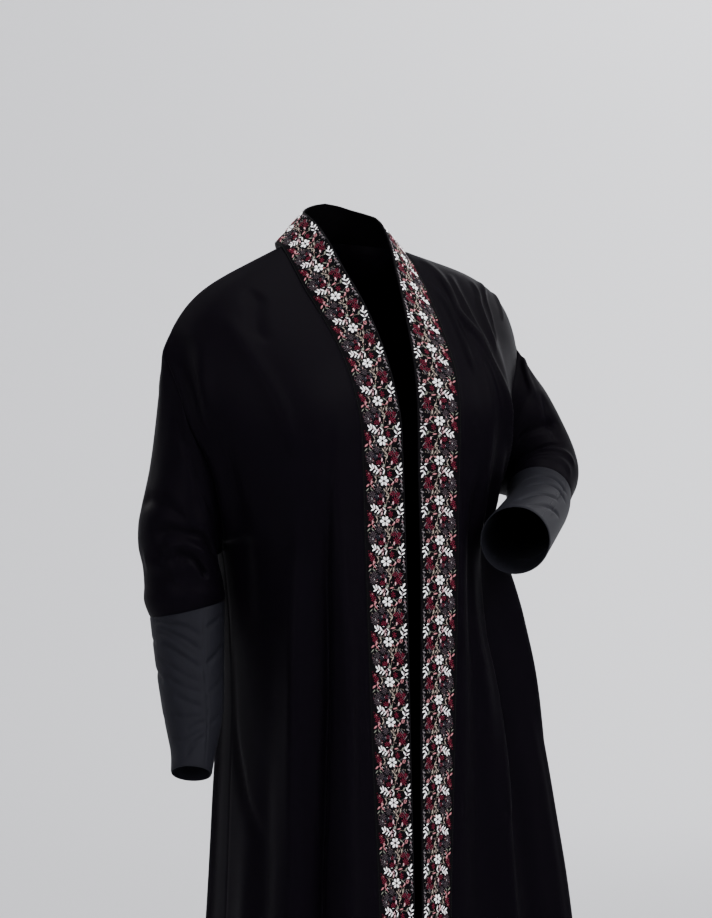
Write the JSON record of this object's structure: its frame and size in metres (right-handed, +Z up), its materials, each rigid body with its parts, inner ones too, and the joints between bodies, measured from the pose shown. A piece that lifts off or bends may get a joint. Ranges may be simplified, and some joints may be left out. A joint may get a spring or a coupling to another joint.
{
  "type": "abaya cloak",
  "caption": "Full-length open-front abaya cloak in worn form, with fitted jersey forearm cuffs and a continuous floral embroidered band round the neck and down the front.",
  "frame": {"origin": "midway between the two neck points of the shoulder seams, where the cloak rests on the wearer", "axes": "+Z up, -Y to the wearer's front, -X to the wearer's right"},
  "size_m": [0.5938, 0.4002, 1.4549],
  "materials": {
    "black_crepe": "soft sheen",
    "charcoal_jersey": "matte",
    "embroidered_band": "embroidered"
  },
  "bodies": {
    "root": {"back": "black_crepe", "front_right": "black_crepe", "front_left": "black_crepe", "sleeve_right": "black_crepe", "sleeve_left": "black_crepe", "cuff_right": "charcoal_jersey", "cuff_left": "charcoal_jersey", "band_right": "embroidered_band", "band_left": "embroidered_band"}
  },
  "joints": []
}
